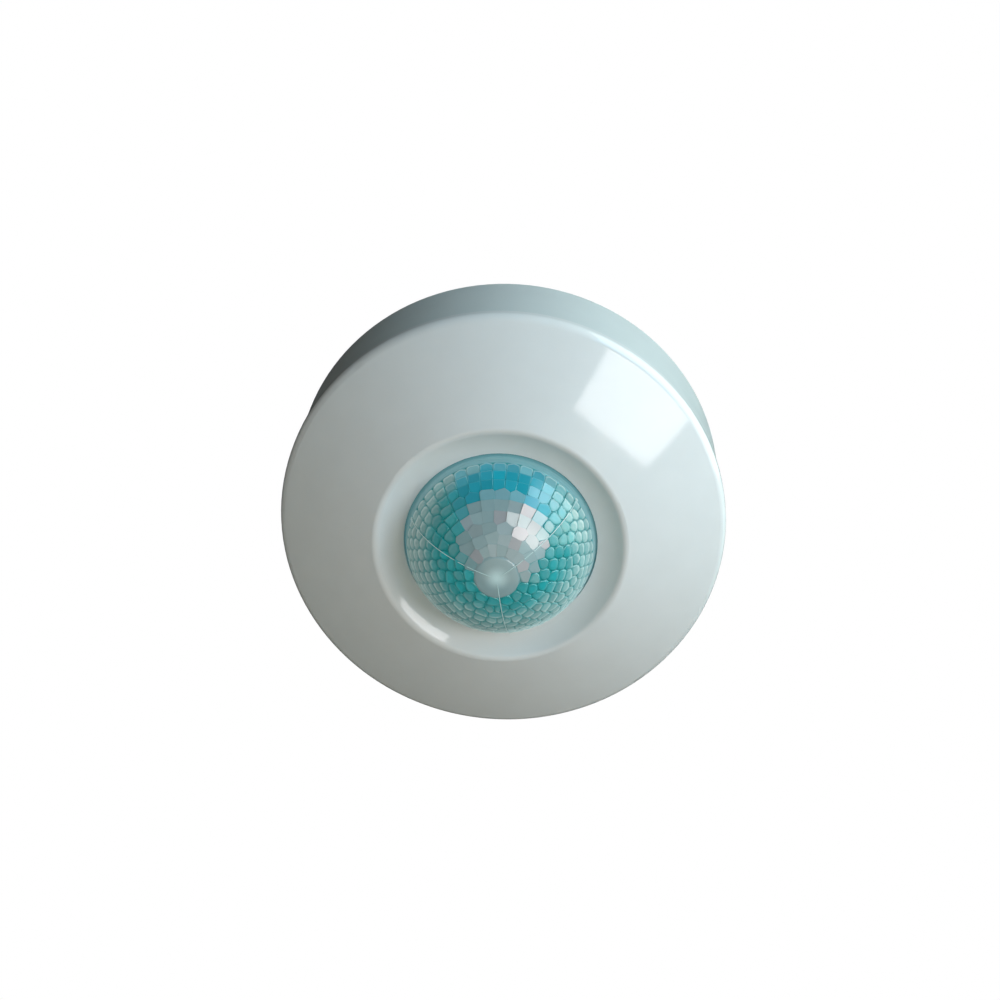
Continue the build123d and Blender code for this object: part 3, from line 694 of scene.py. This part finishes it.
def add_cell(mesh, layer, middle, sector, ring, tint):
    """One cell: a closed block with a bottom, a wall, a chamfer and a flat top."""
    softness = (1.0 - facing_patch_share(middle)) * (1.0 - 0.7 * frontness(middle, sector))
    by_softness = (GROOVES, CHAMFERS, FADES, CORNER_CUTS, LEANS)
    groove, chamfer, fade, cut, lean = (a + (b - a) * softness for a, b in by_softness)
    ring = cut_corners(ring, cut)
    foot = shrink(ring, middle, groove)
    top = shrink(ring, middle, groove + chamfer)
    core = shrink(ring, middle, groove + chamfer + fade)
    facing = lean_of(middle, lean)
    reach = facing.dot(middle) * LENS_RADIUS
    loops = [
        [corner * (LENS_RADIUS - CELL_HEIGHT - CELL_ROOT) for corner in foot],
        [corner * (reach / facing.dot(corner) - BEVEL_SLOPE * chamfer) for corner in foot],
        [corner * (reach / facing.dot(corner)) for corner in top],
        [corner * (reach / facing.dot(corner)) for corner in core],
    ]
    loops = [[mesh.verts.new(LENS_CENTRE + point) for point in loop] for loop in loops]
    # The cell's walls are painted shade, darkened towards the groove teal.
    side_painted_shade = mixed(tint, PAINTED_GROOVE_SHADE, softness * (1.0 - 0.55 * steepness(middle)))
    edge = [edge_tint(corner, middle, tint, softness) for corner in top]
    tints = [[side_painted_shade] * len(ring), [side_painted_shade] * len(ring), edge, [tint] * len(ring)]
    paint(mesh.faces.new(loops[0][::-1]), layer, tints[0])
    paint(mesh.faces.new(loops[3]), layer, tints[3])
    for level in range(3):
        below, above = loops[level], loops[level + 1]
        for i in range(len(ring)):
            k = (i + 1) % len(ring)
            face = mesh.faces.new((below[i], below[k], above[k], above[i]))
            face.smooth = level == 1
            paint(face, layer, (tints[level][i], tints[level][k], tints[level + 1][k], tints[level + 1][i]))


print("a cell stands", CELL_HEIGHT / MM, "mm high")

# %% [markdown]
# ## Put the cells together
# All the cells are one piece of plastic, so they go into one mesh. A piece has to ride on the body that
# carries it, here the cover, so that it moves along when the cover is pulled off, and it names the
# finish that it wears.

# %% Build the cells' mesh
def new_mesh():
    """An empty mesh in the making, with a layer for the tint."""
    mesh = bmesh.new()
    return mesh, mesh.loops.layers.float_color.new(TINT_LAYER)


def keep(mesh, name, body, slot):
    """Turns the mesh into a piece that rides on a body and has that slot's finish."""
    bmesh.ops.recalc_face_normals(mesh, faces=mesh.faces)
    data = bpy.data.meshes.new(name)
    mesh.to_mesh(data)
    mesh.free()
    piece = bpy.data.objects.new(name, data)
    bpy.context.scene.collection.objects.link(piece)
    data.materials.append(finishes[slot])
    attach(piece, body)
    return piece


mesh, layer = new_mesh()
for (middle, sector), ring in zip(cells, rings):
    if len(ring) > 2:
        add_cell(mesh, layer, middle, sector, ring, cell_tint(middle, sector))
lens_cells = keep(mesh, "lens_cells", "cover", "lens_plastic")
print("lens cell faces", len(lens_cells.data.polygons))

# %% [markdown]
# ## The lens shell under the cells
# Behind the cells is the thin ball itself, with its neck and the flange that the retaining ring clamps.
# It is a turned shape, so all that it needs is a half outline. The outline's round parts come from a
# formula and its flange from the CAD box. The tip is a smooth cap, and near the rim is a plain band
# with fine turned grooves. This piece stands for the smooth CAD lens.

# %% Outline of the lens shell
WALL = 1.2 * MM
NECK_TOP = lens_high.z
FLANGE_RADIUS = lens_high.x
FLANGE_THICKNESS = 1.6 * MM
GROOVE_TILTS = (75.2, 77.6, 80.0, 82.4)
GROOVE_DEPTH = 0.10 * MM
GROOVE_SPREAD = 0.35
CELL_OVERLAP = 0.05 * MM


def ball_outline(radius, first_tilt, last_tilt, steps, grooved):
    """Points (radius, height) down a quarter of the ball."""
    points = []
    for i in range(steps + 1):
        tilt = first_tilt + (last_tilt - first_tilt) * i / steps
        dent = 0.0
        if grooved:
            dent = sum(math.exp(-(((tilt - g) / GROOVE_SPREAD) ** 2)) for g in GROOVE_TILTS) * GROOVE_DEPTH
            past_cap = eased(CAP_EDGE - 1.2, CAP_EDGE + 0.2, tilt)
            before_band = eased(BAND_EDGE + 0.6, BAND_EDGE - 0.4, tilt)
            dent += (CELL_HEIGHT - CELL_OVERLAP) * past_cap * before_band
        r = radius - dent
        angle = math.radians(tilt)
        points.append((r * math.sin(angle), LENS_CENTRE.z - r * math.cos(angle)))
    return points


outer = ball_outline(LENS_RADIUS, 0.0, 90.0, 150, True)
inner = ball_outline(LENS_RADIUS - WALL, 90.0, 0.0, 60, False)
flange = [
    (LENS_RADIUS, NECK_TOP - FLANGE_THICKNESS),
    (FLANGE_RADIUS, NECK_TOP - FLANGE_THICKNESS),
    (FLANGE_RADIUS, NECK_TOP),
    (LENS_RADIUS - WALL, NECK_TOP),
]
print("outline points", len(outer + flange + inner))

# %% [markdown]
# ## Spin the outline
# Spinning is what a lathe does: each point of the outline becomes a ring, and faces join one ring to
# the next. At the tip a ring shrinks to a point, so the faces there are triangles. The tint is worked
# out at each corner from its place, which gives the lighter cap, the painted grey-blue patch facing the
# camera, the painted shade in the valleys and the pale band without a picture.

# %% Spin the lens shell
TURNS = 240
TIP_BRIGHT = (0.40, 0.56, 0.58)
BAND_PALE = (0.130, 0.330, 0.365)


def spin(mesh, layer, outline, tint_of):
    """Solid of revolution from a closed outline of (radius, height), tinted by tint_of(point)."""
    rows = []
    around = [(math.cos(2 * math.pi * k / TURNS), math.sin(2 * math.pi * k / TURNS)) for k in range(TURNS)]
    for radius, height in outline:
        if radius < 0.01 * MM:
            rows.append([mesh.verts.new((0, 0, height))])
        else:
            rows.append([mesh.verts.new((radius * x, radius * y, height)) for x, y in around])
    for row, following in zip(rows, rows[1:] + rows[:1]):
        if len(row) == len(following) == 1:
            continue
        for k in range(TURNS):
            n = (k + 1) % TURNS
            near, far = len(row), len(following)
            ring = [row[k % near], row[n % near], following[n % far], following[k % far]]
            face = mesh.faces.new(list(dict.fromkeys(ring)))
            face.smooth = True
            paint(face, layer, [tint_of(loop.vert.co) for loop in face.loops])


def shell_tint(point):
    """Lighter at the tip, painted grey-blue in the patch facing the camera, painted shade in deep teal
    where it shows between cells, and pale on the plain band by the rim.
    """
    way = (point - LENS_CENTRE).normalized()
    tilt = tilt_of(way)
    tip = mixed(TIP_BRIGHT, PAINTED_FACING_GREY, eased(0.0, 9.0, tilt))
    valley = mixed(PAINTED_GROOVE_SHADE, PAINTED_FACING_GREY, facing_patch_share(way))
    inside = mixed(tip, valley, eased(CAP_EDGE - 1.0, CAP_EDGE + 0.6, tilt))
    return mixed(inside, BAND_PALE, eased(BAND_EDGE, BAND_EDGE + 0.8, tilt))


mesh, layer = new_mesh()
spin(mesh, layer, outer + flange + inner, shell_tint)
lens_shell = keep(mesh, "lens_shell", "cover", "lens_plastic")
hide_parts("lens_dome")
print("lens shell faces", len(lens_shell.data.polygons))

# %% [markdown]
# ## The seams of the lens
# Where two sectors meet, the mould leaves a fine raised line from the rim to the tip, paler than the
# cells beside it, and a small bright node where it reaches the plain band. The line is a thin half-
# round rib that follows the ball, so a loop walks down the meridian and lays a small half-round section
# at each step.

# %% Lay the seam ribs
SEAM_PALE = (0.40, 0.55, 0.55)
RIB_RADIUS = 0.10 * MM
RIB_START = 3.0
RIB_END = 73.5
RIB_STEPS = 90
RIB_SIDES = 8
RIB_RAISE = 0.06 * MM
NODE_RADIUS = 0.55 * MM
NODE_SINK = 0.1 * MM


def finish_faces(faces, layer):
    """Makes faces smooth and gives them the tint of the seams."""
    for face in faces:
        face.smooth = True
        paint(face, layer, [SEAM_PALE] * len(face.loops))


def add_rib(mesh, layer, turn):
    """Half-round rib along one meridian, closed at its ends."""
    across = Vector((-math.sin(math.radians(turn)), math.cos(math.radians(turn)), 0))
    sections = []
    for i in range(RIB_STEPS + 1):
        out = direction(RIB_START + (RIB_END - RIB_START) * i / RIB_STEPS, turn)
        ends = min(i, RIB_STEPS - i) / 6
        size = RIB_RADIUS * min(1.0, 0.3 + 0.7 * ends)
        ring = []
        for k in range(RIB_SIDES):
            a = 2 * math.pi * k / RIB_SIDES
            offset = across * (size * math.cos(a)) + out * (size * 0.6 * math.sin(a))
            ring.append(mesh.verts.new(LENS_CENTRE + out * (LENS_RADIUS + RIB_RAISE) + offset))
        sections.append(ring)
    made = [mesh.faces.new(sections[0]), mesh.faces.new(sections[-1])]
    for one, two in zip(sections, sections[1:]):
        for k in range(RIB_SIDES):
            n = (k + 1) % RIB_SIDES
            made.append(mesh.faces.new((one[k], one[n], two[n], two[k])))
    finish_faces(made, layer)


def add_node(mesh, layer, turn):
    """Small low dome at the rim end of a seam."""
    out = direction(RIB_END, turn)
    before = len(mesh.faces)
    place = Matrix.Translation(LENS_CENTRE + out * (LENS_RADIUS - NODE_SINK))
    turned = out.to_track_quat("Z", "Y").to_matrix().to_4x4()
    flat = Matrix.Diagonal((1, 1, 0.5, 1))
    bmesh.ops.create_icosphere(mesh, subdivisions=2, radius=NODE_RADIUS, matrix=place @ turned @ flat)
    mesh.faces.ensure_lookup_table()
    finish_faces(mesh.faces[before:], layer)


mesh, layer = new_mesh()
for seam in SEAM_ANGLES:
    add_rib(mesh, layer, seam)
    add_node(mesh, layer, seam)
lens_seams = keep(mesh, "lens_seams", "cover", "lens_plastic")
print("seam faces", len(lens_seams.data.polygons))

# %% [markdown]
# ## Camera
# The sensor is looked up at from below and to one side, the way a person sees it on a ceiling. The
# camera stands near enough for the far side of the base to look smaller. It looks along a direction 24
# degrees off the lens's axis and is rolled a few degrees, and its aim is a little above the rim's
# centre, which leaves more room above the sensor.

# %% Place the camera
OFF_AXIS = math.radians(24.0)
ROLL = math.radians(6.5)
DISTANCE = 459.5 * MM
AIM_RAISE = 6.2 * MM
AIM_ASIDE = 0.6 * MM
look = Vector((0, math.sin(OFF_AXIS), math.cos(OFF_AXIS)))
level = Vector((1, 0, 0))
picture_right = Matrix.Rotation(-ROLL, 3, look) @ level
picture_up = picture_right.cross(look)
camera = bpy.data.objects.new("camera", bpy.data.cameras.new("camera"))
bpy.context.scene.collection.objects.link(camera)
camera.data.lens = 66.9
camera.data.clip_start = 0.01
camera.location = rim_centre - look * DISTANCE + picture_up * AIM_RAISE - picture_right * AIM_ASIDE
camera.rotation_mode = "QUATERNION"
camera.rotation_quaternion = Matrix((picture_right, picture_up, -look)).transposed().to_quaternion()
bpy.context.scene.camera = camera
print("camera at", [round(v / MM) for v in camera.location], "mm")

# %% [markdown]
# ## Light
# Glossy plastic shows what it reflects, so the light is a set of shapes and not a point. One pane, like
# a window, stands low on one side and makes the clean white reflection on the cover. Two large dim
# panes beside it are like walls that the window lights, one cool and one warm, and give most of the
# soft light. A small warm card below lifts the parts that face down.

# %% Window and walls
PANES = {
    "window": ((0.594, -0.376, -0.712), 1.1, (0.61, 0.35), (0.694, 0.654, 0.286), 4.1, (1.0, 0.98, 0.99)),
    "cool_wall": ((0.70, -0.70, -0.20), 1.3, (0.9, 0.9), (0.70, 0.70, 0.0), 5.6, (0.06, 0.60, 1.0)),
    "bright_wall": ((0.84, -0.51, 0.17), 1.1, (1.4, 1.4), (0.51, 0.84, 0.0), 16.5, (1.0, 1.0, 0.90)),
    "warm_card": ((0.16, 0.10, -0.98), 0.85, (0.8, 0.8), (1.0, 0.0, 0.0), 0.9, (1.0, 0.78, 0.50)),
}


def add_pane(name, towards, distance, size, long_side, power, colour):
    """Rectangular area light that faces the sensor, its width along long_side."""
    light = bpy.data.lights.new(name, "AREA")
    light.shape = "RECTANGLE"
    light.size, light.size_y = size
    light.energy = power
    light.color = colour
    pane = bpy.data.objects.new(name, light)
    bpy.context.scene.collection.objects.link(pane)
    back = Vector(towards).normalized()
    wide = Vector(long_side)
    wide = (wide - back * wide.dot(back)).normalized()
    pane.location = rim_centre + back * distance
    pane.rotation_mode = "QUATERNION"
    pane.rotation_quaternion = Matrix((wide, back.cross(wide), back)).transposed().to_quaternion()
    return pane


for pane_name, recipe in PANES.items():
    add_pane(pane_name, *recipe)
print("panes", list(PANES))

# %% [markdown]
# ## The room around
# The room itself is dark except for its side walls, so the far side of the base falls into shade. A
# ramp from one side of the room to the other holds the shades. The camera sees plain white instead of
# that room, as in a studio with a white sheet behind the sensor.

# %% Shade the room
WALL_SHADES = (
    (0.00, (0.54, 0.51, 0.48)),
    (0.20, (0.12, 0.11, 0.11)),
    (0.36, (0.01, 0.01, 0.01)),
    (0.64, (0.01, 0.01, 0.01)),
    (0.80, (0.02, 0.06, 0.05)),
    (1.00, (0.09, 0.27, 0.23)),
)


def soft_room():
    """Room light from side to side, and plain white for the camera."""
    room = bpy.data.worlds.new("soft_room")
    bpy.context.scene.world = room
    room.use_nodes = True
    tree = room.node_tree
    tree.nodes.clear()
    place = tree.nodes.new("ShaderNodeTexCoord")
    facing = tree.nodes.new("ShaderNodeVectorMath")
    facing.operation = "DOT_PRODUCT"
    facing.inputs[1].default_value = (0.97, -0.10, 0.20)
    half = tree.nodes.new("ShaderNodeMath")
    half.operation = "MULTIPLY_ADD"
    half.inputs[1].default_value = 0.5
    half.inputs[2].default_value = 0.5
    ramp = tree.nodes.new("ShaderNodeValToRGB")
    for side, shade in WALL_SHADES[1:-1]:
        ramp.color_ramp.elements.new(side)
    for element, (side, shade) in zip(ramp.color_ramp.elements, WALL_SHADES):
        element.position = side
        element.color = (*shade, 1)
    lit = tree.nodes.new("ShaderNodeBackground")
    white = tree.nodes.new("ShaderNodeBackground")
    white.inputs["Color"].default_value = (1, 1, 1, 1)
    seen = tree.nodes.new("ShaderNodeLightPath")
    mix = tree.nodes.new("ShaderNodeMixShader")
    out = tree.nodes.new("ShaderNodeOutputWorld")
    tree.links.new(place.outputs["Generated"], facing.inputs[0])
    tree.links.new(facing.outputs["Value"], half.inputs[0])
    tree.links.new(half.outputs["Value"], ramp.inputs["Fac"])
    tree.links.new(ramp.outputs["Color"], lit.inputs["Color"])
    tree.links.new(seen.outputs["Is Camera Ray"], mix.inputs["Fac"])
    tree.links.new(lit.outputs["Background"], mix.inputs[1])
    tree.links.new(white.outputs["Background"], mix.inputs[2])
    tree.links.new(mix.outputs["Shader"], out.inputs["Surface"])


soft_room()
print("shades round the room", len(WALL_SHADES))

# %% [markdown]
# ## Floor
# The sensor hangs, so the floor is far below it. It is a plain pale sheet, far larger than any view
# takes in, with a soft noise. It bounces a little of the room's light up, but a dim room would make it
# look dark from above, so it is seen as evenly lit, as the plain white behind the sensor is.

# %% Lay the floor
FLOOR_DEPTH = 1.1
FLOOR_SIZE = 30.0


def pale_floor():
    """Pale sheet that bounces the room's light, and is seen as evenly lit."""
    finish, tree, shader = start_finish("floor_pale", 0.6)
    pale = shade_between(tree, shader, grain(tree, 400.0), (0.78, 0.77, 0.75), (0.82, 0.81, 0.79))
    even = tree.nodes.new("ShaderNodeEmission")
    seen = tree.nodes.new("ShaderNodeLightPath")
    mix = tree.nodes.new("ShaderNodeMixShader")
    tree.links.new(pale, even.inputs["Color"])
    tree.links.new(seen.outputs["Is Camera Ray"], mix.inputs["Fac"])
    tree.links.new(shader.outputs["BSDF"], mix.inputs[1])
    tree.links.new(even.outputs["Emission"], mix.inputs[2])
    tree.links.new(mix.outputs["Shader"], tree.nodes["Material Output"].inputs["Surface"])
    return finish


bpy.ops.mesh.primitive_grid_add(x_subdivisions=8, y_subdivisions=8, size=FLOOR_SIZE)
floor = bpy.context.active_object
floor.name = "floor"
floor.location.z = -FLOOR_DEPTH
floor.data.materials.append(pale_floor())
print("floor at", -FLOOR_DEPTH, "m")

# %% [markdown]
# ## Colour and finish
# The Standard view keeps whites white and tints where they are, which suits a pale object on a pale
# ground.

# %% Set the view
bpy.context.scene.view_settings.view_transform = "Standard"
bpy.context.scene.view_settings.look = "None"
